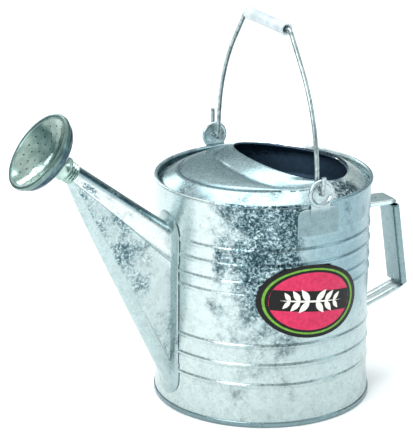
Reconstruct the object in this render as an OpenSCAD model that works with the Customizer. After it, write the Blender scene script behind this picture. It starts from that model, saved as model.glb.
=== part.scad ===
// Galvanised watering can: a beaded steel drum with a domed top, a deep wedge spout
// with a screw-on rose, a strap handle behind and a swinging wire bail above.
// +Z is up, the spout points along -X, the back handle along +X, and the origin is the
// point on the floor under the middle of the drum. All sizes are in millimetres.

/* [Body] */
// Outside radius of the drum's plain wall
body_r = 117.5; // [95:0.5:145]
// Height of the drum to the top of its rolled rim
body_h = 251; // [210:1:310]
// Thickness of the galvanised sheet
sheet_t = 0.8; // [0.6:0.1:1.2]
// How far the smooth band under the rim stands out of the wall
band_out = 0.8; // [0:0.1:1.5]
// Height of the smooth band under the rim
band_h = 36; // [30:1:40]
// How far the foot flares out of the wall
flare_out = 2; // [1:0.1:4]
// Height over which the foot flares
flare_h = 30; // [20:1:36]
// How far each rolled bead stands out of the wall
bead_out = 1; // [0.4:0.1:1.4]
// Width of each rolled bead
bead_w = 8; // [5:0.5:10]
// Depth of the highest bead below the rim
upper_bead_first = 52; // [46:1:60]
// Depth of the last upper bead below the rim
upper_bead_last = 102; // [96:1:106]
// Height of the lowest bead above the floor
lower_bead_first = 48; // [42:1:52]
// Distance from one lower bead to the next
lower_bead_gap = 22.5; // [14:0.5:24]
// Diameter of the wire that stiffens the rim
rim_wire_d = 3; // [2:0.1:4]
// Height of the bottom plate above the floor
bottom_rise = 8; // [6:0.5:14]
// Height of the outer lip of the bottom seam
seam_h = 6; // [4:0.5:8]

/* [Top] */
// Depth of the top's outer edge below the rim
top_drop = 10; // [8:0.5:14]
// Depth of the top's turned-down flange
top_flange = 10; // [5:0.5:15]
// Width of the sloping outer ring of the top
top_ring_w = 21; // [15:0.5:24]
// Rise of the crease above the rim
crease_up = 7; // [4:0.5:10]
// Length of the opening, front to back
mouth_l = 113.7; // [90:0.1:118]
// Width of the opening
mouth_w = 159.6; // [120:0.1:166]
// Distance of the opening's middle behind the drum's axis
mouth_back = 35.3; // [30:0.1:37]
// Height of the opening's edge above the rim, at its middle
mouth_up = 8.3; // [5:0.1:12]

/* [Spout] */
// How far the spout's neck stands out of the wall
neck_out = 109.3; // [80:0.1:150]
// Height of the neck's middle above the rim
neck_up = 28.5; // [0:0.5:60]
// Angle of the neck above the horizontal
neck_angle = 38; // [25:1:55]
// Outside radius of the neck
neck_r = 11; // [9:0.5:15]
// Width of the spout where it meets the wall
spout_w = 25.6; // [20:0.2:36]
// Depth of the spout's top below the rim, on the wall
spout_top_drop = 38.5; // [34:0.5:60]
// Height of the spout's bottom above the floor, on the wall
spout_foot = 25; // [20:0.5:50]
// Depth of the spout's crease below its top, on the wall
spout_crease = 38; // [30:1:50]
// Width of the flange around the spout
spout_flange = 11; // [6:0.5:14]
// Diameter of the strainer holes behind the spout
strainer_d = 6; // [4:0.5:7]

/* [Rose] */
// Outside radius of the rose's face
rose_r = 45.3; // [35:0.1:60]
// Distance of the rose's face from the end of the neck
rose_out = 50; // [46:0.5:60]
// Depth of the rose's shell behind its face
rose_depth = 21; // [18:0.5:24]
// How far the perforated face is dished in
dish_depth = 6; // [3:0.5:9]
// Radius of the thread's crests
thread_r = 12; // [10.5:0.1:14]
// Pitch of the thread
thread_pitch = 3.2; // [2.5:0.1:4]
// Depth of the thread
thread_depth = 1.3; // [0.8:0.1:1.6]
// Length of the threaded ferrule outside the neck
ferrule_l = 24; // [22:0.5:26]
// Diameter of the spray holes
spray_d = 1.8; // [1:0.1:2.5]

/* [Bail and ears] */
// Distance of the bail's hinge line behind the drum's axis
hinge_back = 2.5; // [0:0.5:6]
// Height of the bail's hinge line above the rim
hinge_up = 10; // [8:0.5:13]
// Diameter of the bail's wire
wire_d = 5; // [4:0.5:6]
// Height of the grip's middle above the hinge line
bail_h = 159; // [145:1:175]
// Radius of the long bend in each side of the bail
bail_bend_r = 190; // [170:5:230]
// Angle through which that long bend turns
bail_bend = 36.5; // [30:0.5:40]
// Length of the left tail, which is turned up outside the ear
tail_left = 19; // [12:1:30]
// Length of the right tail
tail_right = 30; // [12:1:34]
// Outside radius of the ear's round eye
eye_r = 15.5; // [12:0.5:18]
// Height of the eye's middle above the hinge line
eye_up = 0.5; // [0:0.5:2]
// Width of the ear's base plate
ear_w = 50; // [36:1:60]
// Thickness of the ear's plate
ear_t = 1.3; // [1:0.1:2]
// Depth of the ear's base plate below the rim
ear_drop = 36; // [28:1:38]
// Outside diameter of the grip
grip_d = 14; // [12:0.5:18]
// Length of the grip
grip_l = 86; // [70:1:100]

/* [Back handle] */
// How far the top corner of the handle stands out of the wall
handle_out = 49.5; // [40:0.5:70]
// Depth of the handle's top below the rim
handle_drop = 50; // [46:0.5:70]
// Height of the handle's grip
handle_h = 107; // [90:1:120]
// Angle at which the grip leans out towards its foot
handle_lean = 8.3; // [0:0.1:15]
// Angle at which the lower arm falls towards the wall
lower_fall = 18.5; // [5:0.5:30]
// Width of the upper arm
upper_w = 34; // [26:1:40]
// Width of the lower arm
lower_w = 26; // [20:1:32]
// Width of the hand grip
hand_w = 34; // [28:1:40]
// Thickness of the hand grip, front to back
hand_t = 9; // [8:0.5:12]
// Thickness of the handle's strap
strap_t = 2; // [1.2:0.1:2.5]

/* [Label] */
// Length of the oval label, measured around the wall
label_l = 129; // [80:1:140]
// Height of the oval label
label_h = 83; // [50:1:90]
// Height of the label's middle above the floor
label_z = 141; // [120:1:150]
// Angle of the label's middle from the left ear, towards the spout
label_turn = 3; // [0:1:10]

/* [Hidden] */
$fn = 96;
// Clearance between pieces that are soldered or seamed together
seat_gap = 0.1;
// Radial clearance of a wire that turns in its hole
turn_gap = 0.1;

crest_r = body_r + bead_out;
// Height over which the wall steps out to the band under the rim
band_rise = 4;
band_r = body_r + band_out;
curl_tube = rim_wire_d / 2 + turn_gap + sheet_t * 0.75;
curl_r = band_r - sheet_t / 2;
curl_z = body_h - curl_tube;
seam_floor = sheet_t + 2 * seat_gap;
// The upper beads are not evenly spaced: each sits at its share of the way up
upper_bead_shares = [0, 0.28, 0.66, 1];
lower_beads = [for (i = [0:2]) lower_bead_first + i * lower_bead_gap];
upper_beads = [for (share = upper_bead_shares)
    body_h - upper_bead_last + share * (upper_bead_last - upper_bead_first)];
bead_z = concat(lower_beads, upper_beads);

zinc = [0.74, 0.80, 0.80];
dull_zinc = [0.62, 0.69, 0.70];

// ---------------------------------------------------------------- body

// Smooth step from 0 to 1
function ease(u) = let (v = min(1, max(0, u))) v * v * (3 - 2 * v);

// Rounded bump that one bead adds to the wall, at distance d from its middle
function bump(d) = abs(d) >= bead_w / 2 ? 0 : bead_out * (1 + cos(360 * d / bead_w)) / 2;

// Outside radius of the wall at height z
function wall_out(z) =
    body_r
    + band_out * ease((z - (body_h - band_h)) / band_rise)
    + flare_out * ease(1 - z / flare_h)
    + max([for (b = bead_z) bump(z - b)]);

// Heights at which the wall's outline needs a point, from the foot up
function wall_heights() = concat(
    [for (i = [0:6]) seam_floor + i * (flare_h - seam_floor) / 6],
    [for (z = bead_z, k = [-4:4]) z + k * bead_w / 8],
    [for (i = [0:3]) body_h - band_h + i * band_rise / 3],
    [curl_z]
);

module wall_section() {
    heights = wall_heights();
    polygon(concat(
        [for (z = heights) [wall_out(z), z]],
        [for (i = [len(heights) - 1:-1:0]) [wall_out(heights[i]) - sheet_t, heights[i]]]
    ));
}

// Three columns of round holes through the plain wall behind the spout, between the beads
module strainer_holes() {
    row_gap = strainer_d * 1.9;
    column_gap = strainer_d * 1.3;
    reach = 10;
    low = max(lower_beads) + bead_w / 2;
    high = min(upper_beads) - bead_w / 2;
    rows = max(1, floor((high - low - strainer_d) / row_gap) + 1);
    for (row = [0:rows - 1], column = [-1:1])
        translate([-body_r - reach, column * column_gap, (low + high) / 2 + (row - (rows - 1) / 2) * row_gap])
            rotate([0, 90, 0])
                cylinder(d = strainer_d, h = 2 * reach, $fn = 24);
}

module body_wall() {
    color(zinc)
        difference() {
            rotate_extrude()
                difference() {
                    union() {
                        wall_section();
                        translate([curl_r, curl_z]) circle(r = curl_tube, $fn = 32);
                    }
                    translate([curl_r, curl_z]) circle(r = rim_wire_d / 2 + seat_gap, $fn = 32);
                }
            strainer_holes();
        }
}

module rim_wire() {
    color(dull_zinc)
        translate([0, 0, curl_z])
            rotate_extrude()
                translate([curl_r, 0]) circle(d = rim_wire_d, $fn = 32);
}

// Bottom plate with a deep flange, folded up around the wall's lower edge
module bottom_pan() {
    inner = wall_out(seam_h) - sheet_t - seat_gap;
    foot_inner = wall_out(0) - sheet_t - seat_gap;
    foot_outer = wall_out(0) + seat_gap + sheet_t;
    lip_inner = wall_out(0) + seat_gap;
    plate_r = wall_out(bottom_rise) - sheet_t - seat_gap;
    color(dull_zinc)
        rotate_extrude()
            polygon([
                [0, bottom_rise],
                [0, bottom_rise - sheet_t],
                [plate_r - sheet_t, bottom_rise - sheet_t],
                [foot_inner - sheet_t, 0],
                [foot_outer, 0],
                [foot_outer, seam_h],
                [lip_inner, seam_h],
                [lip_inner, sheet_t],
                [foot_inner, sheet_t],
                [inner, seam_h],
                [plate_r, bottom_rise]
            ]);
}

// ---------------------------------------------------------------- top

mouth_edge_z = body_h + mouth_up;
crease_z = body_h + crease_up;
crease_r = crest_r - 2 - top_ring_w;
top_r = band_r - sheet_t - seat_gap;
top_edge_z = body_h - top_drop;

// Edge of the egg-shaped opening; its front rides up over the hood
function mouth_edge(t) =
    let (
        x = mouth_back + mouth_l / 2 * cos(t),
        y = mouth_w / 2 * sin(t) * (1 - 0.12 * cos(t)),
        u = (x - mouth_back) / mouth_l
    )
    [x, y, mouth_edge_z - 16 * u + 16 * u * u];

function crease_point(t) = [crease_r * cos(t), crease_r * sin(t), crease_z];

// Point of the dome, from the crease (w = 0) to the opening's edge (w = 1)
function dome_point(t, w) =
    let (a = crease_point(t), b = mouth_edge(t), crown = 6 * w * (1 - w) * (1 - cos(t)) / 2)
    [a.x + (b.x - a.x) * w, a.y + (b.y - a.y) * w, a.z + (b.z - a.z) * w + crown];

function ring_point(t, r, z) = [r * cos(t), r * sin(t), z];

// One radial section through the top's sheet, outer face first, then back underneath
function top_section(t) = concat(
    [
        ring_point(t, top_r, top_edge_z - top_flange),
        ring_point(t, top_r, top_edge_z - 2),
        ring_point(t, top_r - 2, top_edge_z + 1),
        ring_point(t, (top_r + crease_r) / 2, (top_edge_z + crease_z) / 2)
    ],
    [for (w = [0, 0.2, 0.4, 0.6, 0.8, 1]) dome_point(t, w)],
    [for (w = [1, 0.8, 0.6, 0.4, 0.2, 0]) dome_point(t, w) - [0, 0, sheet_t]],
    [
        ring_point(t, (top_r + crease_r) / 2 - sheet_t / 2, (top_edge_z + crease_z) / 2 - sheet_t),
        ring_point(t, top_r - 2 - sheet_t / 2, top_edge_z + 1 - sheet_t),
        ring_point(t, top_r - sheet_t, top_edge_z - 2 - sheet_t / 2),
        ring_point(t, top_r - sheet_t, top_edge_z - top_flange)
    ]
);

// Closed skin over rows of points: every row is a loop, and the rows close on themselves
module closed_skin(rows) {
    n = len(rows);
    m = len(rows[0]);
    polyhedron(
        points = [for (row = rows, p = row) p],
        faces = [for (i = [0:n - 1], j = [0:m - 1], half = [0, 1])
            let (
                a = i * m + j,
                b = i * m + (j + 1) % m,
                c = ((i + 1) % n) * m + (j + 1) % m,
                d = ((i + 1) % n) * m + j
            )
            half == 0 ? [a, b, c] : [a, c, d]]
    );
}

module top_cover() {
    steps = 90;
    color(dull_zinc)
        closed_skin([for (i = [0:steps - 1]) top_section(i * 360 / steps)]);
}

// ---------------------------------------------------------------- spout

neck_x = -(body_r + neck_out);
neck_z = body_h + neck_up;
spout_top = body_h - spout_top_drop;
flange_r = crest_r + sheet_t + 0.3;

// Point on the neck's end circle, at angle f from its top, towards side s
function neck_point(f, s, r) =
    [neck_x + r * cos(f) * sin(neck_angle), s * r * sin(f), neck_z + r * cos(f) * cos(neck_angle)];

// Half of the spout's outline on the wall, from its top down: each point has the angle at
// which it meets the neck, its half-width and its height
function spout_half(grow) =
    let (
        w = spout_w / 2 + grow,
        top = spout_top + grow,
        crease = spout_top - spout_crease,
        foot = spout_foot - grow
    )
    concat(
        [for (a = [0:15:90]) [a, w * sin(a), top - w + w * cos(a)]],
        [for (k = [1:4]) [90 + 14.5 * k, w, top - w - k / 4 * (top - w - crease)]],
        [for (k = [1:4]) [148 + 2 * k, w, crease - k * (crease - foot - w) / 5]],
        [for (a = [90:15:180]) [158 + (a - 90) * 22 / 90, w * sin(a), foot + w + w * cos(a)]]
    );

function spout_outline(grow) =
    let (half = spout_half(grow), n = len(half))
    concat(
        [for (p = half) [p[0], -1, p[1], p[2]]],
        [for (i = [n - 2:-1:1]) [half[i][0], 1, half[i][1], half[i][2]]]
    );

function on_drum(p, r) = [-sqrt(r * r - p[2] * p[2]), p[1] * p[2], p[3]];

module spout() {
    outer = spout_outline(0);
    inner = spout_outline(-sheet_t);
    fillet = spout_outline(1.5);
    flange = spout_outline(spout_flange);
    color(zinc)
        closed_skin([
            [for (p = inner) neck_point(p[0], p[1], neck_r - sheet_t)],
            [for (p = outer) neck_point(p[0], p[1], neck_r)],
            [for (p = outer) on_drum(p, flange_r + 1.5)],
            [for (p = fillet) on_drum(p, flange_r)],
            [for (p = flange) on_drum(p, flange_r)],
            [for (p = flange) on_drum(p, crest_r + 0.3)],
            [for (p = inner) on_drum(p, crest_r + 0.3)]
        ]);
}

// ---------------------------------------------------------------- rose

// Puts a piece that is drawn along +Z on the neck's axis, s millimetres past its end
module on_neck(s) {
    translate([neck_x, 0, neck_z])
        rotate([0, neck_angle - 90, 0])
            translate([0, 0, s])
                children();
}

// The neck's inside is made of flats 15 degrees wide, and the ferrule fits within them
plug_r = (neck_r - sheet_t) * cos(7.5) - seat_gap;
plug_l = 8;
ferrule_bore = neck_r - sheet_t - 2.4;
socket_start = 11;
washer_t = 1.8;
washer_s = ferrule_l + seat_gap;
socket_floor = washer_s + washer_t + seat_gap;
socket_r = thread_r + 1.6;
shell_back = rose_out - rose_depth;
shell_r = rose_r - 2.2;

// Threaded nose, soldered into the neck; its thread is drawn as closed rings
module spout_ferrule() {
    root = thread_r - thread_depth;
    turns = floor((ferrule_l - 1) / thread_pitch);
    color([0.78, 0.82, 0.80])
        on_neck(0)
            rotate_extrude()
                polygon(concat(
                    [
                        [ferrule_bore, -plug_l],
                        [plug_r, -plug_l],
                        [plug_r, seat_gap],
                        [root, seat_gap]
                    ],
                    [for (i = [0:turns - 1], p = [[0.25, 0], [0.5, 1], [0.7, 1], [0.95, 0]])
                        [root + thread_depth * p[1], 0.5 + (i + p[0]) * thread_pitch]],
                    [[root, ferrule_l], [ferrule_bore, ferrule_l]]
                ));
}

module rose_washer() {
    color([0.16, 0.16, 0.17])
        on_neck(washer_s)
            difference() {
                cylinder(r = thread_r - 0.3, h = washer_t);
                translate([0, 0, -1]) cylinder(r = ferrule_bore, h = washer_t + 2);
            }
}

// Collar that screws onto the ferrule
module rose_socket() {
    end = shell_back + 2;
    color([0.60, 0.70, 0.66])
        on_neck(0)
            rotate_extrude()
                polygon([
                    [thread_r + turn_gap, socket_start],
                    [socket_r - 0.6, socket_start],
                    [socket_r, socket_start + 1],
                    [socket_r, end - 4],
                    [socket_r - 1.2, end - 3],
                    [socket_r - 1.2, end],
                    [ferrule_bore, end],
                    [ferrule_bore, socket_floor],
                    [thread_r + turn_gap, socket_floor]
                ]);
}

// Outside of the shell: a round shoulder between a flat back and a short straight side
function shell_point(u) =
    let (
        inner = socket_r - 1.2 + seat_gap,
        a = 90 * u,
        bulge = rose_depth - 6
    )
    [inner + (shell_r - inner) * sin(a), shell_back + bulge * (1 - cos(a))];

module rose_shell() {
    outline = [for (u = [0:0.1:1]) shell_point(u)];
    side_top = rose_out - 2;
    color([0.60, 0.70, 0.66])
        on_neck(0)
            rotate_extrude()
                polygon(concat(
                    outline,
                    [[shell_r, side_top], [shell_r - sheet_t, side_top]],
                    [for (i = [len(outline) - 1:-1:0])
                        [outline[i].x - (i > 0 ? sheet_t * outline[i].x / shell_r : 0),
                         outline[i].y + sheet_t * (i > 9 ? 0.2 : 1)]]
                ));
}

// Height of the dished face at radius r
function dish(r) = rose_out - 1.5 - dish_depth * cos(90 * r / (rose_r - 4.5));

// Perforated face, its edge rolled back over the shell
module rose_face() {
    radii = [for (i = [0:8]) i * (rose_r - 4.5) / 8];
    rings = [[1, 0], [6, 9.5], [12, 19], [18, 28.5]];
    color([0.60, 0.70, 0.66])
        on_neck(0)
            difference() {
                rotate_extrude()
                    polygon(concat(
                        [for (r = radii) [r, dish(r)]],
                        [
                            [rose_r - 3, rose_out],
                            [rose_r - 1, rose_out],
                            [rose_r, rose_out - 1],
                            [rose_r, rose_out - 5],
                            [rose_r - 1, rose_out - 6],
                            [shell_r + seat_gap, rose_out - 6],
                            [shell_r + seat_gap, rose_out - 2 + seat_gap],
                            [rose_r - 3.6, rose_out - 2 + seat_gap]
                        ],
                        [for (i = [8:-1:0]) [radii[i], dish(radii[i]) - sheet_t]]
                    ));
                for (ring = rings, k = [0:ring[0] - 1])
                    rotate([0, 0, 360 * k / ring[0] + ring[1] * 3])
                        translate([ring[1], 0, shell_back])
                            cylinder(d = spray_d, h = rose_depth + 5, $fn = 16);
            }
}

// ---------------------------------------------------------------- bail and ears

hinge_z = body_h + hinge_up;
ear_y = curl_r + curl_tube + 0.4;
leg_y = curl_r - curl_tube - wire_d / 2 - 1.2;
// Radius of the two small bends that take the wire out through each ear
foot_bend_r = 4;
// Straight length of the leg above them
leg_rise = 8;
// How much thinner the drawn wire is than its burnished pins
pin_step = 0.05;
tail_y = ear_y + ear_t + 2.6 + wire_d / 2;
top_bend_r = 9;

// Plate on the drum's wall, with rounded top corners
module ear_base() {
    corner = 8;
    top = body_h - 2 * curl_tube - 1;
    foot = body_h - ear_drop;
    intersection() {
        difference() {
            cylinder(r = band_r + seat_gap + ear_t, h = body_h);
            translate([0, 0, -1]) cylinder(r = band_r + seat_gap, h = body_h + 2);
        }
        translate([hinge_back, 0, 0])
            rotate([90, 0, 0])
                linear_extrude(height = body_r + 20)
                    union() {
                        translate([-ear_w / 2, foot]) square([ear_w, top - corner - foot]);
                        translate([-ear_w / 2 + corner, foot]) square([ear_w - 2 * corner, top - foot]);
                        for (side = [-1, 1])
                            translate([side * (ear_w / 2 - corner), top - corner]) circle(r = corner);
                    }
    }
}

// Neck that steps out around the rolled rim, and the round dished eye above it
module ear_eye() {
    neck_w = eye_r * 1.45;
    neck_low = body_h - 2 * curl_tube - 8;
    base_out = band_r + seat_gap;
    eye_z = hinge_z + eye_up;
    difference() {
        union() {
            translate([hinge_back - neck_w / 2, -ear_y - ear_t, neck_low + 4])
                cube([neck_w, ear_t, eye_z - neck_low - 4]);
            // step from the base plate out to the neck
            translate([hinge_back - neck_w / 2, 0, 0])
                rotate([90, 0, 90])
                    linear_extrude(height = neck_w)
                        polygon([
                            [-base_out, neck_low],
                            [-ear_y, neck_low + 4.5],
                            [-ear_y - ear_t, neck_low + 4.5],
                            [-base_out - ear_t, neck_low]
                        ]);
            translate([hinge_back, -ear_y, eye_z])
                rotate([90, 0, 0]) {
                    cylinder(r = eye_r - 2, h = ear_t);
                    translate([0, 0, ear_t + 0.2])
                        rotate_extrude()
                            translate([eye_r - 2.2, 0]) circle(r = 2.2 - 0.6, $fn = 24);
                }
        }
        translate([hinge_back, -ear_y + 1, hinge_z])
            rotate([90, 0, 0])
                cylinder(r = wire_d / 2 + turn_gap, h = ear_t + 6);
    }
}

module ear() {
    color(zinc)
        union() {
            ear_base();
            ear_eye();
        }
}

module ear_left() {
    ear();
}

module ear_right() {
    mirror([0, 1, 0]) ear();
}

// Points [y, z, heading] along a bend about (cy, cz): the heading is 0 going up and 90
// going towards +Y, and side is 1 when the centre lies to the right of the way along
function wire_arc(cy, cz, r, from, to, side, steps) =
    [for (i = [0:steps])
        let (h = from + (to - from) * i / steps)
        [cy - side * r * cos(h), cz + side * r * sin(h), h]];

// One side of the bail, drawn for the left, from the turned-up tail to the mouth of the grip
function bail_side(tail) =
    let (
        low_z = hinge_z + foot_bend_r,
        bend_z = low_z + leg_rise,
        slope = 90 - bail_bend,
        end_y = leg_y - bail_bend_r * (1 - cos(bail_bend)),
        end_z = bend_z + bail_bend_r * sin(bail_bend),
        grip_z = hinge_z + bail_h,
        straight = (grip_z - end_z - top_bend_r * (1 - cos(slope))) / sin(slope),
        flat_y = end_y - straight * cos(slope) - top_bend_r * sin(slope)
    )
    concat(
        [[-tail_y, hinge_z + tail, 180]],
        wire_arc(-tail_y + foot_bend_r, low_z, foot_bend_r, 180, 90, -1, 5),
        wire_arc(-leg_y - foot_bend_r, low_z, foot_bend_r, 90, 0, -1, 5),
        wire_arc(-leg_y + bail_bend_r, bend_z, bail_bend_r, 0, bail_bend, 1, 14),
        wire_arc(-flat_y, grip_z - top_bend_r, top_bend_r, bail_bend, 90, 1, 5)
    );

// The other side, run the other way along so that the two make one wire
function other_side(path) =
    [for (i = [len(path) - 1:-1:0]) [-path[i][0], path[i][1], 180 - path[i][2]]];

// Skin over rows of points with a flat cap at each end
module capped_skin(rows) {
    n = len(rows);
    m = len(rows[0]);
    polyhedron(
        points = [for (row = rows, p = row) p],
        faces = concat(
            [for (i = [0:n - 2], j = [0:m - 1], half = [0, 1])
                let (
                    a = i * m + j,
                    b = i * m + (j + 1) % m,
                    c = (i + 1) * m + (j + 1) % m,
                    d = (i + 1) * m + j
                )
                half == 0 ? [a, b, c] : [a, c, d]],
            [[for (j = [m - 1:-1:0]) j], [for (j = [0:m - 1]) (n - 1) * m + j]]
        )
    );
}

// Wire of the bail: one length, bent, with a burnished pin where it turns in each ear
module bail_wire() {
    sides = 20;
    wire_r = wire_d / 2 - pin_step;
    path = concat(bail_side(tail_left), other_side(bail_side(tail_right)));
    color([0.66, 0.72, 0.72])
        translate([hinge_back, 0, 0])
            union() {
                capped_skin([for (p = path)
                    [for (k = [0:sides - 1])
                        let (a = -360 * k / sides, out = wire_r * sin(a))
                        [wire_r * cos(a), p[0] + out * cos(p[2]), p[1] - out * sin(p[2])]]]);
                for (side = [-1, 1])
                    translate([0, side * (leg_y + foot_bend_r + 0.5), hinge_z])
                        rotate([-90 * side, 0, 0])
                            cylinder(d = wire_d, h = tail_y - leg_y - 2 * foot_bend_r - 1);
            }
}

module bail_grip() {
    mouth_r = wire_d / 2 + 2;
    color([0.94, 0.95, 0.95])
        translate([hinge_back, 0, hinge_z + bail_h])
            rotate([90, 0, 0])
                difference() {
                    rotate_extrude()
                        polygon([
                            [0, -grip_l / 2],
                            [grip_d / 2 - 1, -grip_l / 2],
                            [grip_d / 2, -grip_l / 2 + 1],
                            [grip_d / 2 - 0.5, -grip_l / 4],
                            [grip_d / 2 - 0.5, grip_l / 4],
                            [grip_d / 2, grip_l / 2 - 1],
                            [grip_d / 2 - 1, grip_l / 2],
                            [0, grip_l / 2]
                        ]);
                    cylinder(r = wire_d / 2 + turn_gap, h = grip_l + 2, center = true);
                    for (side = [-1, 1])
                        translate([0, 0, side * grip_l / 2])
                            cylinder(
                                r1 = side < 0 ? mouth_r : wire_d / 2,
                                r2 = side < 0 ? wire_d / 2 : mouth_r,
                                h = 12,
                                center = true
                            );
                }
}

// ---------------------------------------------------------------- back handle

handle_top = body_h - handle_drop;
foot_t = 1.2;
foot_r = crest_r + 2 * seat_gap;
corner_x = body_r + handle_out;
low_corner_z = handle_top - handle_h;

// How far out the grip's outer face is at height z
function back_x(z) = corner_x + (handle_top - z) * tan(handle_lean);

// Height of the lower arm's underside, x millimetres from the drum's axis
function lower_arm_z(x) = low_corner_z - (back_x(low_corner_z) - x) * tan(lower_fall);

// Bar of rectangular section from one point of the handle's plane to another
module bar(from, to, width, thick) {
    span = to - from;
    length = norm(span);
    angle = atan2(span.y, span.x);
    translate([from.x, 0, from.y])
        rotate([0, -angle, 0])
            translate([0, -width / 2, 0])
                cube([length, width, thick]);
}

// Curved foot on the wall where an arm is soldered
module handle_foot(z, width, height) {
    intersection() {
        difference() {
            cylinder(r = foot_r + foot_t, h = body_h);
            translate([0, 0, -1]) cylinder(r = foot_r, h = body_h + 2);
        }
        translate([body_r / 2, -width / 2, z - height / 2]) cube([body_r, width, height]);
    }
}

// Strap bent into the two arms and the back bar, with turned-down edges on the upper arm
module handle_strap() {
    lip = 4.6;
    lip_t = 1.4;
    root = foot_r - 4;
    back_in = strap_t + sheet_t + 0.4;
    arm_z = handle_top - strap_t;
    bar_top = handle_top - strap_t / 2;
    color(zinc)
        union() {
            difference() {
                union() {
                    bar([root, arm_z], [corner_x, arm_z], upper_w, strap_t);
                    for (side = [-1, 1])
                        translate([root, side * (upper_w - lip_t) / 2 - lip_t / 2, handle_top - lip])
                            cube([corner_x - root, lip_t, lip]);
                    bar(
                        [back_x(bar_top) - back_in, bar_top],
                        [back_x(low_corner_z) - back_in, low_corner_z],
                        lower_w,
                        strap_t
                    );
                    bar([root, lower_arm_z(root)], [back_x(low_corner_z), low_corner_z], lower_w, strap_t);
                }
                cylinder(r = foot_r + foot_t / 2, h = body_h);
            }
            handle_foot(handle_top - lip / 2 - 1, upper_w + 6, lip + 14);
            handle_foot(lower_arm_z(foot_r) + 1, lower_w + 10, 20);
        }
}

// Hollow grip rolled from sheet around the back bar
module handle_grip() {
    corner = hand_t / 2 - 0.6;
    length = (handle_h - 10) / cos(handle_lean);
    start_z = handle_top - 5.2;
    color(dull_zinc)
        translate([back_x(start_z), 0, start_z])
            rotate([0, 180 - handle_lean, 0])
                translate([hand_t / 2, 0, 0])
                    linear_extrude(height = length)
                        difference() {
                            grip_section(hand_t, hand_w, corner);
                            grip_section(hand_t - 2 * sheet_t, hand_w - 2 * sheet_t, corner - sheet_t);
                        }
}

// Rounded rectangle
module grip_section(thick, width, corner) {
    union() {
        square([thick, width - 2 * corner], center = true);
        square([thick - 2 * corner, width], center = true);
        for (x = [-1, 1], y = [-1, 1])
            translate([x * (thick / 2 - corner), y * (width / 2 - corner)]) circle(r = corner, $fn = 32);
    }
}

// ---------------------------------------------------------------- label

// Oval sticker on the wall, under the left ear
module label() {
    film = 0.25;
    inner = crest_r + 0.15;
    half_angle = label_l / 2 / body_r * 180 / PI;
    ear_gap = 4;
    // on a low can the sticker sits lower, clear of the ear's foot
    middle = min(label_z, body_h - ear_drop - label_h / 2 - ear_gap);
    color([0.55, 0.10, 0.22])
        rotate([0, 0, -label_turn])
            intersection() {
                difference() {
                    cylinder(r = inner + film, h = body_h);
                    translate([0, 0, -1]) cylinder(r = inner, h = body_h + 2);
                }
                translate([0, 0, middle])
                    rotate([90, 0, 0])
                        linear_extrude(height = body_r + 20)
                            polygon([for (t = [0:7.5:352.5])
                                [inner * sin(half_angle * cos(t)), label_h / 2 * sin(t)]]);
            }
}

body_wall();
rim_wire();
bottom_pan();
top_cover();
spout();
spout_ferrule();
rose_washer();
rose_socket();
rose_shell();
rose_face();
ear_left();
ear_right();
bail_wire();
bail_grip();
handle_strap();
handle_grip();
label();
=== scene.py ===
import bmesh
import bpy
from math import cos, exp, hypot, pi, radians, sin, sqrt, tan
from mathutils import Matrix, Vector
from mathutils.geometry import delaunay_2d_cdt


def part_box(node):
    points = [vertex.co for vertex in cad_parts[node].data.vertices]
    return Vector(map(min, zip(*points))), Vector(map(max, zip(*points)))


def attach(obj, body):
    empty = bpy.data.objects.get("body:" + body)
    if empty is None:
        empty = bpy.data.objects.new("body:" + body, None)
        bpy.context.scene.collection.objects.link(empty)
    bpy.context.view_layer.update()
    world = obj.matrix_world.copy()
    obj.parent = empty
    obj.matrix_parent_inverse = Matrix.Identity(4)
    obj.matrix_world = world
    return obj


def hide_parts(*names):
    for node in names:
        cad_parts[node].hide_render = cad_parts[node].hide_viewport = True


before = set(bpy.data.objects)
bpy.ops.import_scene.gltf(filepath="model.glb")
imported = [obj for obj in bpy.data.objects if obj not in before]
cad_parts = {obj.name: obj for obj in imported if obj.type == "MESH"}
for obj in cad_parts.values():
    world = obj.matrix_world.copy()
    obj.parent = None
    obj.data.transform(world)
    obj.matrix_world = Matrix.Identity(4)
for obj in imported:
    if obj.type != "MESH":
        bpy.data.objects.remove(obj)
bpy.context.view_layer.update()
mm = 0.001

# driving sizes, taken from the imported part
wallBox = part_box("body_wall")
rimRadius = wallBox[1].x
rimTop = wallBox[1].z
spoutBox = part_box("spout")
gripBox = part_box("bail_grip")
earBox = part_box("ear_left")
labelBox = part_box("label")
wallRadius = rimRadius - 2.6 * mm      # plain wall, behind the rolled rim
print("frame loaded, rim", round(rimRadius, 4), "top", round(rimTop, 4))


# ---- small tools

def ease(u):
    u = min(1.0, max(0.0, u))
    return u * u * (3 - 2 * u)


def mixValue(a, b, u):
    return a + (b - a) * u


# linear colour of a hex code, or of one number for a grey
def linearColour(tone):
    if not isinstance(tone, str):
        return (tone, tone, tone, 1)
    channels = [int(tone[i:i + 2], 16) / 255 for i in (1, 3, 5)]
    return (*[c / 12.92 if c <= 0.04045 else ((c + 0.055) / 1.055) ** 2.4 for c in channels], 1)


# sets a node's inputs; an input that is given another node's output is linked to it
def setInputs(tree, node, inputs):
    for key, value in inputs.items():
        if isinstance(value, bpy.types.NodeSocket):
            tree.links.new(value, node.inputs[key])
        else:
            node.inputs[key].default_value = value


# adds one shader node with its inputs and settings; stops are the places and tones of a ramp
def addNode(tree, kind, inputs=None, stops=None, **settings):
    node = tree.nodes.new("ShaderNode" + kind)
    for key, value in settings.items():
        setattr(node, key, value)
    setInputs(tree, node, inputs or {})
    if stops:
        elements = node.color_ramp.elements
        elements.remove(elements[-1])
        elements[0].position = stops[0][0]
        elements[0].color = linearColour(stops[0][1])
        for place, tone in stops[1:]:
            elements.new(place).color = linearColour(tone)
    return node


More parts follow.
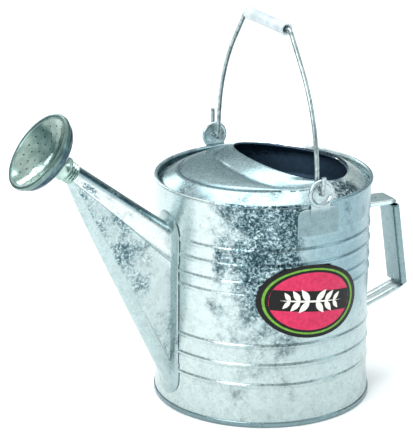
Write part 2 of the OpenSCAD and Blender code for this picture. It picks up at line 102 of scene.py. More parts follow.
def newMaterial(name):
    material = bpy.data.materials.new(name)
    material.use_nodes = True
    tree = material.node_tree
    place = addNode(tree, "TexCoord").outputs["Object"]
    return material, tree, tree.nodes["Principled BSDF"], place


# material whose colour drifts between tones; size is mm across one cloud
def cloudedMaterial(name, size, stops, detail, roughness=0.5):
    material, tree, shader, place = newMaterial(name)
    clouds = addNode(tree, "TexNoise", {"Scale": 1000 / size, "Detail": detail, "Roughness": roughness,
                                        "Vector": place}).outputs["Fac"]
    tone = addNode(tree, "ValToRGB", {"Fac": clouds}, stops)
    setInputs(tree, shader, {"Base Color": tone.outputs["Color"]})
    return material, tree, shader, place, clouds


# turns a list of vertices and faces into a smooth piece that rides on a body; the per-vertex
# colour attribute holds each vertex's tone, with painted light and shade in it, and share of rough zinc
def makePiece(name, vertices, faces, materials, body, replaced, sharpAngle, indices=None, toneAndLightPaint=None):
    mesh = bpy.data.meshes.new(name)
    mesh.from_pydata([tuple(v) for v in vertices], [], faces)
    if toneAndLightPaint:
        layer = mesh.color_attributes.new("toneAndLightPaint", "FLOAT_COLOR", "POINT")
        for item, (tone, share) in zip(layer.data, toneAndLightPaint):
            item.color = (tone, share, 0, 1)
    for material in materials:
        mesh.materials.append(material)
    if indices:
        for polygon, index in zip(mesh.polygons, indices):
            polygon.material_index = index
    work = bmesh.new()
    work.from_mesh(mesh)
    bmesh.ops.recalc_face_normals(work, faces=work.faces)
    work.to_mesh(mesh)
    work.free()
    mesh.shade_smooth()
    mesh.set_sharp_from_angle(angle=radians(sharpAngle))
    mesh.update()
    piece = bpy.data.objects.new(name, mesh)
    bpy.context.scene.collection.objects.link(piece)
    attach(piece, body)
    if replaced:
        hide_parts(*replaced)


# faces between rows of equal length; rows and columns can each close on themselves
def gridFaces(rows, columns, closeRows=False, closeColumns=False, offset=0, flip=False):
    faces = []
    for i in range(rows if closeRows else rows - 1):
        for j in range(columns if closeColumns else columns - 1):
            a = offset + i * columns + j
            b = offset + i * columns + (j + 1) % columns
            c = offset + ((i + 1) % rows) * columns + (j + 1) % columns
            d = offset + ((i + 1) % rows) * columns + j
            faces.append((a, d, c, b) if flip else (a, b, c, d))
    return faces


# places before and after i in a row, going round when the row is closed
def neighbours(i, count, closed=False):
    if closed:
        return (i - 1) % count, (i + 1) % count
    return max(i - 1, 0), min(i + 1, count - 1)


# turns a closed outline of (radius, height) in mm about an axis; the frame is (centre, x, y, axis)
def revolve(outline, steps, axes=None):
    centre, sideX, sideY, up = axes or (Vector(), Vector((1, 0, 0)), Vector((0, 1, 0)), Vector((0, 0, 1)))
    vertices = []
    for k in range(steps):
        turn = 2 * pi * k / steps
        out = sideX * cos(turn) + sideY * sin(turn)
        vertices += [centre + out * (r * mm) + up * (h * mm) for r, h in outline]
    return vertices, gridFaces(steps, len(outline), True, True)


# round bar along points, capped at both ends
def sweepTube(points, radius, sides):
    vertices = []
    side = Vector((1, 0, 0))
    count = len(points)
    for i, point in enumerate(points):
        before, after = neighbours(i, count)
        along = (points[after] - points[before]).normalized()
        side = (side - along * side.dot(along)).normalized()
        other = along.cross(side)
        for k in range(sides):
            turn = 2 * pi * k / sides
            vertices.append(point + (side * cos(turn) + other * sin(turn)) * radius)
    faces = gridFaces(count, sides, False, True)
    faces.append(tuple(range(sides - 1, -1, -1)))
    faces.append(tuple((count - 1) * sides + k for k in range(sides)))
    return vertices, faces


# gives a sheet of points a back face, so that it is a closed plate
def thicken(rows, thickness, closeRows=False, closeColumns=False):
    count, width = len(rows), len(rows[0])
    back = []
    for i in range(count):
        before, after = neighbours(i, count, closeRows)
        for j in range(width):
            left, right = neighbours(j, width, closeColumns)
            normal = (rows[i][right] - rows[i][left]).cross(rows[after][j] - rows[before][j])
            back.append(rows[i][j] - normal.normalized() * thickness)
    total = count * width
    faces = gridFaces(count, width, closeRows, closeColumns)
    faces += gridFaces(count, width, closeRows, closeColumns, total, True)
    if not closeColumns:
        for i in range(count if closeRows else count - 1):
            a, b = i * width, (i + 1) % count * width
            faces.append((a, b, total + b, total + a))
            a, b = a + width - 1, b + width - 1
            faces.append((b, a, total + a, total + b))
    if not closeRows:
        for j in range(width if closeColumns else width - 1):
            a, b = j, (j + 1) % width
            faces.append((b, a, total + a, total + b))
            a, b = a + total - width, b + total - width
            faces.append((a, b, total + b, total + a))
    return [p for row in rows for p in row] + back, faces


# adds another closed shell to a piece
def joinShell(vertices, faces, shell):
    offset = len(vertices)
    vertices += shell[0]
    faces += [tuple(i + offset for i in f) for f in shell[1]]


# ---- finishes

# Hot-dip galvanised sheet: zinc freezes into flat crystals over rolled steel, so the metal is
# a satin mirror of pale and blue-grey patches, and where the coat froze rough it is crinkled;
# its dark veins with bright edges are painted reflection of the studio in the crinkles.
galvanised = {
    "crystalSize": 7,       # mm across one crystal
    "crinkleSize": 3.1,     # mm, coarser than the real crinkle so that it shows
    "patchSize": 26,        # mm, the larger clouds of rough zinc
    "rough": 0.27,
    "veinPlaces": (0.19, 0.28, 0.37, 0.46),
}

# the drum's wall: calm tones with painted reflection of the studio in them, darker and paler round the drum,
# and share of rough zinc around the drum (0 and 1 are at the spout, a quarter at the left ear, a half at the
# back handle), and both by height
wallLook = {
    "zincToneAndLight": [(0.0, "#BFD0D2"), (0.09, "#CBD8D9"), (0.15, "#BACBCD"), (0.2, "#AABFC3"), (0.26, "#92ADB5"),
             (0.33, "#87A3AC"), (0.39, "#98B1B8"), (0.5, "#B6C7C9"), (0.62, "#CAD6D6"), (0.75, "#98B0B6"),
             (0.88, "#B6C7CA"), (1.0, "#BFD0D2")],
    # the low tone, paler towards the foot, is a painted reflection
    "low": "#BECCCB", "lowReflectionShare": [(0.16, 0.8), (0.42, 0.5), (0.6, 0.0)],
    "rough": [(0.07, 0.0), (0.10, 0.66), (0.14, 0.92), (0.165, 1.15), (0.21, 1.1), (0.235, 0.4), (0.33, 0.2),
              (0.5, 0.0), (0.6, 0.6), (0.68, 0.1), (0.85, 0.5), (0.95, 0.05)],
    "roughHeight": [(0.16, 0.25), (0.3, 0.38), (0.46, 0.56), (0.62, 0.82), (0.72, 1.0), (0.93, 0.9)],
    "veinsAndReflections": ["#2A3E46", "#5A737A", "#8BA3A9", "#C9D8DA"], "cloudiness": 0.75, "level": 0.60, "relief": 0.5,
}
# pieces whose tone, with painted light and shade, is painted on the mesh: 0 is the darkest, 1 the palest
topLook = {
    "painted": [(0.0, "#20303A"), (0.3, "#5F777F"), (0.5, "#93ACB2"), (0.75, "#BCCED1"), (1.0, "#EAF2F2")],
    "veinsAndReflections": ["#2A3F48", "#6A838A", "#A3B9BE", "#E4EEEE"], "cloudiness": 0.6, "level": 0.62, "relief": 0.4,
}
spoutLook = {
    "painted": [(0.0, "#2C3F48"), (0.35, "#7C959B"), (0.7, "#B7C8C9"), (1.0, "#ECF3F3")],
    "veinsAndReflections": ["#4C646C", "#8BA2A7", "#B9CACC", "#EEF4F4"], "cloudiness": 1.0, "level": 0.60, "relief": 0.35,
}
# tone 1 is a painted highlight on the ears' neck and eye
smallLook = {
    "painted": [(0.0, "#869DA2"), (1.0, "#B9C9CC")],
    "veinsAndReflections": ["#4A626A", "#7E969C", "#A9BDC1", "#DCE7E8"], "cloudiness": 0.9, "level": 0.62, "relief": 0.3,
}
# a paler copy of the pressing zinc for the handle strap: painted light on its arm
litStrapLook = {
    "painted": [(0.0, "#C3D2D4")],
    "veinsAndReflections": ["#6A8087", "#9AAFB4", "#BECCCF", "#E4ECED"], "cloudiness": 0.8, "level": 0.66, "relief": 0.25,
}
# the inside of the drum and the underside of the top: zinc painted darker and bluer, painted shade
shadedInsideLook = {
    "painted": [(0.0, "#5C7892")],
    "veinsAndReflections": ["#3E5468", "#4C657C", "#5C7892", "#8FA9C0"], "cloudiness": 0.8, "level": 0.66, "relief": 0.2,
}


# calm zinc tone with painted light and shade, and share of rough zinc, as painted on the mesh
def paintedTones(tree, look):
    layer = addNode(tree, "Attribute", attribute_name="toneAndLightPaint").outputs["Color"]
    toneAndLightPaint = addNode(tree, "SeparateColor", {"Color": layer}).outputs
    zincToneAndLight = addNode(tree, "ValToRGB", {"Fac": toneAndLightPaint["Red"]}, look["painted"])
    return zincToneAndLight.outputs["Color"], toneAndLightPaint["Green"]


# calm zinc tone with painted reflection, and share of rough zinc, by the way round the drum and by height
def wallTones(tree, look, place):
    parts = addNode(tree, "SeparateXYZ", {"Vector": place}).outputs
    angle = addNode(tree, "Math", {0: parts["Y"], 1: parts["X"]}, operation="ARCTAN2").outputs[0]
    around = addNode(tree, "MapRange", {"Value": angle, "From Min": -pi, "From Max": pi})
    height = addNode(tree, "MapRange", {"Value": parts["Z"], "From Max": rimTop})
    tones = {}
    for key, way in (("zincToneAndLight", around), ("rough", around), ("lowReflectionShare", height), ("roughHeight", height)):
        ramp = addNode(tree, "ValToRGB", {"Fac": way.outputs["Result"]}, look[key])
        tones[key] = ramp.outputs["Color"]
    zincToneAndLight = addNode(tree, "Mix", {"Factor": tones["lowReflectionShare"], "A": tones["zincToneAndLight"],
                                 "B": linearColour(look["low"])}, data_type="RGBA")
    amount = addNode(tree, "Math", {0: tones["rough"], 1: tones["roughHeight"]}, operation="MULTIPLY")
    return zincToneAndLight.outputs["Result"], amount.outputs[0]


def zincSheet(name, look, rough=galvanised["rough"]):
    s = galvanised
    material, tree, shader, place = newMaterial(name)
    crystals = addNode(tree, "TexVoronoi", {"Scale": 1000 / s["crystalSize"], "Smoothness": 0.35,
                                            "Vector": place}, feature="SMOOTH_F1")
    patches = addNode(tree, "TexNoise", {"Scale": 1000 / s["patchSize"], "Detail": 4.0, "Roughness": 0.6,
                                         "Vector": place}).outputs["Fac"]
    crinkles = addNode(tree, "TexNoise", {"Scale": 1000 / s["crinkleSize"], "Detail": 4.0, "Roughness": 0.6,
                                          "Distortion": 0.7, "Vector": place}).outputs["Fac"]
    if "painted" in look:
        zincToneAndLight, amount = paintedTones(tree, look)
    else:
        zincToneAndLight, amount = wallTones(tree, look, place)
    # crystals and fine grain in the calm zinc
    sparkle = addNode(tree, "ValToRGB", {"Fac": crystals.outputs["Color"]}, [(0.25, 0.78), (0.62, 1.0)])
    grain = addNode(tree, "ValToRGB", {"Fac": crinkles}, [(0.36, 0.70), (0.5, 0.94), (0.62, 1.0)])
    for shade, share in ((sparkle, 0.4), (grain, 0.55)):
        zincToneAndLight = addNode(tree, "Mix", {"Factor": share, "A": zincToneAndLight, "B": shade.outputs["Color"]},
                       data_type="RGBA", blend_type="MULTIPLY").outputs["Result"]
    # rough zinc, where it froze crinkled: a real bump, with dark veins and bright edges painted in as
    # reflection
    half = look["cloudiness"] / 2
    cloud = addNode(tree, "MapRange", {"Value": patches, "From Min": 0.3, "From Max": 0.7,
                                       "To Min": -half, "To Max": half}, clamp=False)
    total = addNode(tree, "Math", {0: amount, 1: cloud.outputs["Result"]}, operation="ADD")
    crust = addNode(tree, "MapRange", {"Value": total.outputs[0], "From Min": look["level"] - 0.34,
                                       "From Max": look["level"] + 0.34},
                    interpolation_type="SMOOTHSTEP").outputs["Result"]
    blend = addNode(tree, "Math", {0: patches, 1: -0.42, 2: crinkles}, operation="MULTIPLY_ADD")
    stops = list(zip(s["veinPlaces"], look["veinsAndReflections"]))
    veinsAndReflections = addNode(tree, "ValToRGB", {"Fac": blend.outputs[0]}, stops)
    mixed = addNode(tree, "Mix", {"Factor": crust, "A": zincToneAndLight, "B": veinsAndReflections.outputs["Color"]},
                    data_type="RGBA")
    spread = addNode(tree, "MapRange", {"Value": crinkles, "From Min": 0.3, "From Max": 0.7,
                                        "To Min": rough - 0.03, "To Max": rough + 0.10})
    relief = addNode(tree, "MapRange", {"Value": crust, "To Min": 0.08, "To Max": look["relief"]})
    bump = addNode(tree, "Bump", {"Height": crinkles, "Strength": relief.outputs["Result"],
                                  "Distance": 0.0004})
    setInputs(tree, shader, {"Base Color": mixed.outputs["Result"], "Roughness": spread.outputs["Result"],
                             "Normal": bump.outputs["Normal"], "Metallic": 1.0})
    return material


# Bright zinc plate over pressed steel: a thin mirror-like coat with a green-blue cast,
# slightly clouded by handling.
plated = {"clear": "#B4CAC2", "cloudy": "#93ADA5", "stainAndShade": "#71908A", "cloudSize": 26, "rough": 0.08}
# the rolled rim is rougher than the plate, and a darker copy of it: painted shade
shadedRimFinish = {"clear": "#7B938E", "cloudy": "#5F7976", "stainAndShade": "#456060", "cloudSize": 20, "rough": 0.26}
# the back of the rose is a darker, bluer copy of the plate: painted dark reflection
darkShellPlate = {"clear": "#70888B", "cloudy": "#3D5361", "stainAndShade": "#1B2A40", "cloudSize": 24, "rough": 0.15}
plateGrain = 2.38       # mm, the faint ripple of the pressed steel under the plate


def zincPlate(name, s):
    stops = [(0.3, s["stainAndShade"]), (0.45, s["cloudy"]), (0.62, s["clear"])]
    material, tree, shader, place, clouds = cloudedMaterial(name, s["cloudSize"], stops, 5.0, 0.6)
    dull = addNode(tree, "MapRange", {"Value": clouds, "To Min": s["rough"] + 0.12, "To Max": s["rough"]})
    fine = addNode(tree, "TexNoise", {"Scale": 1000 / plateGrain, "Detail": 3.0, "Vector": place})
    bump = addNode(tree, "Bump", {"Height": fine.outputs["Fac"], "Strength": 0.12, "Distance": 0.0004})
    setInputs(tree, shader, {"Roughness": dull.outputs["Result"], "Normal": bump.outputs["Normal"],
                             "Metallic": 1.0})
    return material


# Galvanised drawn wire: grey zinc with dull spots where the wire was gripped.
wireFinish = {"light": "#B4C0C1", "dull": "#7E8D90", "spotSize": 6, "rough": 0.34}


def zincWire(name):
    s = wireFinish
    stops = [(0.36, s["dull"]), (0.6, s["light"])]
    material, tree, shader, place, spots = cloudedMaterial(name, s["spotSize"], stops, 4.0, 0.6)
    bump = addNode(tree, "Bump", {"Height": spots, "Strength": 0.2, "Distance": 0.0003})
    setInputs(tree, shader, {"Normal": bump.outputs["Normal"], "Metallic": 1.0, "Roughness": s["rough"]})
    return material


# Moulded polyethylene: waxy white with faint flow clouds and a soft gloss.
gripFinish = {"white": "#C2CBCF", "shade": "#A9B5BA", "flowSize": 14, "pitSize": 0.667, "rough": 0.42}


def mouldedPlastic(name):
    s = gripFinish
    stops = [(0.35, s["shade"]), (0.6, s["white"])]
    material, tree, shader, place = cloudedMaterial(name, s["flowSize"], stops, 2.0)[:4]
    pits = addNode(tree, "TexNoise", {"Scale": 1000 / s["pitSize"], "Detail": 1.0, "Vector": place})
    bump = addNode(tree, "Bump", {"Height": pits.outputs["Fac"], "Strength": 0.15, "Distance": 0.0002})
    setInputs(tree, shader, {"Normal": bump.outputs["Normal"], "Roughness": s["rough"], "IOR": 1.51,
                             "Subsurface Weight": 0.08, "Subsurface Radius": (0.004, 0.004, 0.004)})
    return material


# Printed vinyl: flat ink under a clear gloss coat, with a slight orange peel.
peelSize = 4.17         # mm


def printedVinyl(name, ink, shade):
    stops = [(0.3, shade), (0.65, ink)]
    material, tree, shader, place, peel = cloudedMaterial(name, peelSize, stops, 3.0)
    bump = addNode(tree, "Bump", {"Height": peel, "Strength": 0.05, "Distance": 0.0002})
    setInputs(tree, shader, {"Normal": bump.outputs["Normal"], "Roughness": 0.45, "IOR": 1.45,
                             "Specular IOR Level": 0.25, "Coat Weight": 0.08, "Coat Roughness": 0.2})
    return material


# Nitrile rubber: near-black, dull, with a faint moulded grain.
rubberFinish = {"black": "#1C1C1E", "grey": "#2E2E31", "grainSize": 1.43}


def nitrileRubber(name):
    s = rubberFinish
    stops = [(0.3, s["black"]), (0.7, s["grey"])]
    material, tree, shader = cloudedMaterial(name, s["grainSize"], stops, 2.0)[:3]
    setInputs(tree, shader, {"Roughness": 0.75})
    return material


wallZinc = zincSheet("galvanisedWall", wallLook)
topZinc = zincSheet("galvanisedDrawnTop", topLook, 0.24)
spoutZinc = zincSheet("galvanisedSpout", spoutLook)
smallZinc = zincSheet("galvanisedPressing", smallLook)
litStrapZinc = zincSheet("galvanisedStrapLit", litStrapLook)
shadedInsideZinc = zincSheet("galvanisedInsideShade", shadedInsideLook, 0.5)
plateZinc = zincPlate("brightPlate", plated)
rimZinc = zincPlate("dullShadedPlate", shadedRimFinish)
shellZinc = zincPlate("shellDarkReflectionPlate", darkShellPlate)
bailZinc = zincWire("galvanisedWire")
gripPlastic = mouldedPlastic("whitePolyethylene")
washerRubber = nitrileRubber("nitrileRubber")
print("finishes ready")


# ---- drum

drum = {
    "sheet": 0.8,                               # mm
    # height and depth of each bead
    "beads": [(47, 1.275), (70, 1.275), (92, 1.275), (149, 1.02), (163, 1.02), (182, 1.105), (199, 1.105)],
    "beadWidth": 7.0,
    "footFlare": 2.0, "flareHeight": 34,
    "bandOut": 0.8, "bandFrom": 212,
    "curlRadius": 2.2,
    "dents": 0.28,                              # mm, how uneven the sheet is
    "rise": 1.15,                               # mm between rows of points
    "steps": 360,
}


def wallProfile(z):
    r = wallRadius / mm
    for height, out in drum["beads"]:
        d = (z - height) / drum["beadWidth"]
        if abs(d) < 0.5:
            r += out * (0.5 + 0.5 * cos(2 * pi * d))
    r += drum["footFlare"] * ease(1 - z / drum["flareHeight"])
    r += drum["bandOut"] * ease((z - drum["bandFrom"]) / 5)
    return r


def buildDrum():
    s = drum
    curl = s["curlRadius"]
    curlZ = rimTop / mm - curl
    curlR = rimRadius / mm - curl
    heights = [1.0 + i * s["rise"] for i in range(int((curlZ - 1.0) / s["rise"]) + 1)]
    outline = [(wallProfile(z), z) for z in heights]
    outline += [(curlR + curl * cos(radians(d)), curlZ + curl * sin(radians(d))) for d in range(-10, 236, 14)]
    outside = len(outline)
    outline += [(curlR - curl * 0.5, curlZ - curl * 1.05)]
    outline += [(wallProfile(z) - s["sheet"], z) for z in reversed(heights[:-3])]
    vertices = []
    for k in range(s["steps"]):
        t = 2 * pi * k / s["steps"]
        for r, z in outline:
            wave = sin(3 * t + z * 0.021) * cos(5 * t - z * 0.013 + 1.1) + 0.6 * sin(11 * t + z * 0.05)
            fade = ease((curlZ - 6 - z) / 20) * ease((z - 12) / 20)
            reach = (r + s["dents"] * (wave - 1) * fade) * mm
            vertices.append(Vector((cos(t) * reach, sin(t) * reach, z * mm)))
    faces = gridFaces(s["steps"], len(outline), True, True)
    # the inside up to the top cover gets the darker inside zinc: painted shade
    coverZ = rimTop / mm - 12
    indices = [1 if j >= outside and z < coverZ else 0 for j, (r, z) in enumerate(outline)] * s["steps"]
    makePiece("drumWall", vertices, faces, [wallZinc, shadedInsideZinc], "can", ["body_wall"],
              60, indices)


def buildBottom():
    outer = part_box("bottom_pan")[1].x / mm
    outline = [(0.01, 8), (outer - 12, 8), (outer - 5, 7.6), (outer - 3.4, 6.5), (outer - 2.6, 1.2),
               (outer - 1.6, 0.7), (outer - 0.9, 0.9), (outer - 0.9, 5.6), (outer - 0.5, 6.0),
               (outer - 0.1, 5.6), (outer, 4), (outer, 1.4), (outer - 0.5, 0.35), (outer - 1.4, 0),
               (outer - 2.6, 0.25), (outer - 3.4, 1.2), (outer - 4.4, 6.2), (outer - 6, 7.1),
               (outer - 12, 7.2), (0.01, 7.2)]
    vertices, faces = revolve(outline, 240)
    makePiece("bottomSeam", vertices, faces, [smallZinc], "can", ["bottom_pan"], 50)


# a piece carried over as it is, with its own finish
def keepNode(name, material):
    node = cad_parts[name]
    node.data.materials.clear()
    node.data.materials.append(material)


buildDrum()
buildBottom()
keepNode("rim_wire", bailZinc)
print("drum built")


# ---- top

top = {
    "edgeDrop": 9, "flange": 6,                 # mm below the rim, and turned down
    "mouthMiddle": 35.3, "mouthLong": 56.9, "mouthWide": 79.9, "mouthEgg": 0.12,
    "mouthZ": 258.7, "mouthSlope": 13.9, "mouthCurve": 12.5,
    # the creases run in curves of the angle from the spout: reach, bend and straightening
    "outerLine": (96.2, -14.7, 6.0), "outerZ": 257.6,
    "innerLine": (45.2, 15.6, 1.05), "innerZ": 262.4, "innerFall": 3.3,
    "ringRise": 0.6,                            # mm, the pressed step of the outer crease
    "domeRise": 1.8, "bandRise": 0.6,
    "lip": 1.1,                                 # mm, radius of the rolled edge of the mouth
    "steps": 300,
}


def mouthEdge(t):
    x = top["mouthMiddle"] + top["mouthLong"] * cos(t)
    y = top["mouthWide"] * sin(t) * (1 - top["mouthEgg"] * cos(t))
    u = (x - 40) / 100
    return Vector((x, y, top["mouthZ"] - top["mouthSlope"] * u + top["mouthCurve"] * u * u))


def polar(t, r, z):
    return Vector((r * cos(t), r * sin(t), z))


# angle from the spout, 0 in front and pi behind
def fromSpout(t):
    return abs(pi - t % (2 * pi))


def outerCrease(t):
    reach, bend, straighten = top["outerLine"]
    q = min(fromSpout(t), 1.45)
    r = reach + bend * q * q + straighten * q ** 4 + 0.8 * ease(fromSpout(t) - 1.2)
    return polar(t, r, top["outerZ"])


def innerCrease(t):
    q = fromSpout(t)
    edge = mouthEdge(t)
    if q < 1.5:
        reach, bend, straighten = top["innerLine"]
        line = polar(t, reach + bend * q * q + straighten * q ** 4, top["innerZ"] - top["innerFall"] * q * q)
    else:
        line = polar(t, 90, 255.4)
    joined = outerCrease(t).lerp(edge, 0.3)
    return line.lerp(joined, ease((q - 1.15) / 0.4))


def topSection(t):
    edgeZ = rimTop / mm - top["edgeDrop"]
    outer = wallRadius / mm - drum["sheet"] + 0.6
    ring = outerCrease(t)
    crease = innerCrease(t)
    edge = mouthEdge(t)
    front = ease((1.75 - fromSpout(t)) / 0.9)
    points = [polar(t, outer, edgeZ - top["flange"]), polar(t, outer, edgeZ - 2),
              polar(t, outer - 0.5, edgeZ - 0.4), polar(t, outer - 1.8, edgeZ + 0.9)]
    start = polar(t, outer - 3, edgeZ + 1.6)
    for i in range(8):
        w = i / 7
        p = start.lerp(ring, w)
        p.z += 0.9 * sin(pi * w)
        points.append(p)
    # pressed step, first a narrow groove and then a raised shoulder
    points.append(ring.lerp(crease, 0.02) + Vector((0, 0, -0.5 * front)))
    points.append(ring.lerp(crease, 0.05) + Vector((0, 0, 0.5 * top["ringRise"] * front)))
    for i in range(1, 16):
        w = 0.05 + 0.9 * i / 15
        p = ring.lerp(crease, w)
        p.z += (top["ringRise"] + top["domeRise"] * sin(pi * w) ** 0.8) * front * ease(w / 0.12)
        points.append(p)
    points.append(crease + Vector((0, 0, (top["ringRise"] * 0.4 - 0.5) * front)))
    for i in range(1, 10):
        w = i / 10
        p = crease.lerp(edge, w)
        p.z += top["bandRise"] * sin(pi * w) * front + 0.5 * ease(w / 0.1) * front * (1 - w)
        points.append(p)
    # rolled edge, turned under
    outward = Vector((edge.x - crease.x, edge.y - crease.y, 0)).normalized()
    for d in range(90, -181, -30):
        a = radians(d)
        points.append(edge + outward * (top["lip"] * cos(a)) + Vector((0, 0, top["lip"] * (sin(a) - 1))))
    return points


# tone and rough zinc of each point of a section, from the flange to the mouth; the tones hold painted light:
# the part towards the spout is painted darker as a reflection, and the creases get painted dark lines of
# shade
def topToneAndLight(t, index):
    q = fromSpout(t)
    front = ease((1.9 - q) / 0.5)
    # the dark crinkled patch is beside each ear, on the ring
    patch = exp(-((q - 2.0) / 0.24) ** 2)
    if index < 12:
        return mixValue(1.0, 0.52, front), mixValue(0.3, 0.42, front) + 0.75 * patch
    # outer crease groove: painted shade
    if index < 14:
        return mixValue(0.80, 0.30, front), 0.0
    if index < 29:
        return mixValue(0.98, 0.55, front), 0.15 + 0.7 * patch
    # inner crease line: painted shade
    if index == 29:
        return mixValue(0.98, 0.38, front), 0.0
    return mixValue(1.0, 0.52, front), 0.2


def buildTop():
    turns = [2 * pi * k / top["steps"] for k in range(top["steps"])]
    rows = [[p * mm for p in topSection(t)] for t in turns]
    vertices, faces = thicken(rows, -drum["sheet"] * mm * 0.8, closeRows=True)
    shown = len(gridFaces(top["steps"], len(rows[0]), True))
    indices = [0] * shown + [1] * (len(faces) - shown)
    toneAndLightPaint = [topToneAndLight(t, j) for t in turns for j in range(len(rows[0]))]
    makePiece("drawnTop", vertices, faces, [topZinc, shadedInsideZinc], "can", ["top_cover"],
              70, indices, toneAndLightPaint + toneAndLightPaint)


buildTop()
print("top built")


# ---- spout

spout = {
    "angle": 38, "neckRadius": 11, "halfWidth": 12.8,
    "topZ": 212.5, "footZ": 25, "creaseZ": 174, "stripZ": 56, "flange": 12,
    # neck angles where the two creases and the bowed underside start
    "upperCrease": 118, "lowerCrease": 123, "underTurn": 140,
    "bow": 2.6,             # mm, how far the underside bows out
    "rows": 40,
}
neckTilt = radians(spout["angle"])
neckAxis = Vector((-cos(neckTilt), 0, sin(neckTilt)))
neckUp = Vector((sin(neckTilt), 0, cos(neckTilt)))
neckEnd = Vector((spoutBox[0].x / mm + spout["neckRadius"] * sin(neckTilt), 0,
                  spoutBox[1].z / mm - spout["neckRadius"] * cos(neckTilt)))


# half of the outline on the wall as (neck angle, width, height), from the top to the foot
def spoutHalf(grow):
    s = spout
    w = s["halfWidth"] + grow
    shoulder, lowEnd = s["topZ"] + grow - w, s["footZ"] - grow + w
    low, strip = s["creaseZ"], s["stripZ"]
    upper, lower, under = s["upperCrease"], s["lowerCrease"], s["underTurn"]
    half = [(a, w * sin(radians(a)), shoulder + w * cos(radians(a))) for a in range(0, 91, 10)]
    for i in range(1, 7):
        half.append((mixValue(90, upper, i / 6), w + 0.4 * sin(pi * i / 7), mixValue(shoulder, low, i / 6)))
    half += [(upper + 1, w + 0.7, low - 1.8), (upper + 2, w - 0.1, low - 3.2), (upper + 3, w - 0.8, low - 5)]
    for i in range(1, 12):
        half.append((mixValue(upper + 3, lower - 1, i / 11), w - 0.8, mixValue(low - 5, strip + 2.5, i / 11)))
    half += [(lower - 0.5, w - 0.9, strip + 1.2), (lower, w - 0.1, strip)]
    half.append((lower + 0.5, w + 0.2, strip - 1.5))
    for i in range(1, 6):
        half.append((mixValue(lower + 0.5, under, i / 6), w, mixValue(strip - 1.5, lowEnd, i / 6)))
    for a in range(90, 181, 10):
        half.append((mixValue(under, 180, (a - 90) / 90), w * sin(radians(a)), lowEnd + w * cos(radians(a))))
    return half


def spoutRing(grow):
    half = spoutHalf(grow)
    return [(a, -w, z) for a, w, z in half] + [(a, w, z) for a, w, z in reversed(half[1:-1])]


def onDrum(width, height, radius):
    return Vector((-sqrt(radius * radius - width * width), width, height))


# tone and rough zinc by neck angle and by the way from the neck (0) to the wall (1); the tones are painted
# light: a dark stripe along the ridge, bright bands, a bright upper crease line with painted shade under it,
# and a dark lower crease line
def spoutToneAndLight(a, u):
    s = spout
    if u > 1:
        return 0.58, 0.2
    if a <= 90:
        # painted dark reflection along the top of the ridge, with a painted highlight below it
        darkReflectionStripe = exp(-((a - 50) / 19) ** 4) * ease((0.9 - u) / 0.25)
        paintedHighlight = ease((a - 68) / 8)
        nearNeck = ease((a - 80) / 10) * ease((0.5 - u) / 0.4)
        return 0.62 + 0.38 * paintedHighlight - 0.58 * darkReflectionStripe, 0.05 + 0.3 * darkReflectionStripe + 0.3 * nearNeck
    # the broad side band is a painted highlight
    if a <= s["upperCrease"] - 2:
        return 0.95, 0.12 + 0.75 * ease((0.55 - u) / 0.45)
    # painted highlight on the upper crease
    if a <= s["upperCrease"] + 1:
        return 1.0, 0.0
    # painted shade just under the upper crease
    if a <= s["upperCrease"] + 2:
        return 0.34, 0.3
    if a < s["lowerCrease"] - 0.6:
        return 0.62 + 0.14 * u, 0.82 - 0.5 * u
    # painted shade in the lower crease
    if a < s["lowerCrease"]:
        return 0.1 + 0.7 * ease(u / 0.6), 0.3 - 0.3 * u
    return 0.66, 0.0


def buildSpout():
    s = spout
    ring = spoutRing(0)
    wallAt = wallRadius / mm + 2.0
    rows = []
    count = s["rows"]
    for i in range(count + 1):
        u = i / count
        row = []
        for a, w, z in ring:
            side = 1 if w > 0 else -1
            turn = radians(a)
            neck = neckEnd + neckUp * (s["neckRadius"] * cos(turn))
            neck.y += side * s["neckRadius"] * sin(turn)
            wall = onDrum(w, z, wallAt + 0.6)
            p = neck.lerp(wall, u)
            # the side is pressed in between the creases, and the underside bows out a little
            if s["upperCrease"] + 1 < a < s["lowerCrease"]:
                p.y -= side * 0.7 * sin(pi * u)
            if a > s["underTurn"]:
                share = (a - s["underTurn"]) / (180 - s["underTurn"])
                p += Vector((-0.9, 0, -0.43)) * (s["bow"] * sin(pi * u ** 0.55) * share)
            row.append(p * mm)
        rows.append(row)
    # fillet and soldered flange on the wall
    for grow, lift in ((0.8, 0.3), (2.2, -0.1), (4.5, -0.4), (s["flange"] - 1.6, -0.6), (s["flange"], -1.3)):
        rows.append([onDrum(w, z, wallAt + lift) * mm for a, w, z in spoutRing(grow)])
    vertices, faces = thicken(rows, drum["sheet"] * mm * 0.6, closeColumns=True)
    toneAndLightPaint = [spoutToneAndLight(a, i / count) for i in range(len(rows)) for a, w, z in ring]
    makePiece("wedgeSpout", vertices, faces, [spoutZinc], "can", ["spout"],
              50, toneAndLightPaint=toneAndLightPaint + toneAndLightPaint)


buildSpout()
print("spout built")


# ---- ferrule and rose

rose = {
    "out": 50, "radius": 45.2, "depth": 21, "dish": 12.0, "rimWidth": 5.6,
    "collarRadius": 13.4, "collarStart": 11,
    "holeRadius": 0.9, "holeRings": [(1, 0), (6, 9.5), (11, 18), (15, 26), (18, 33)],
    "threadRadius": 12.2, "threadRoot": 10.9, "threadTurns": 7, "threadPitch": 3.2,
}
roseAxes = (neckEnd * mm, neckUp, Vector((0, 1, 0)), neckAxis)


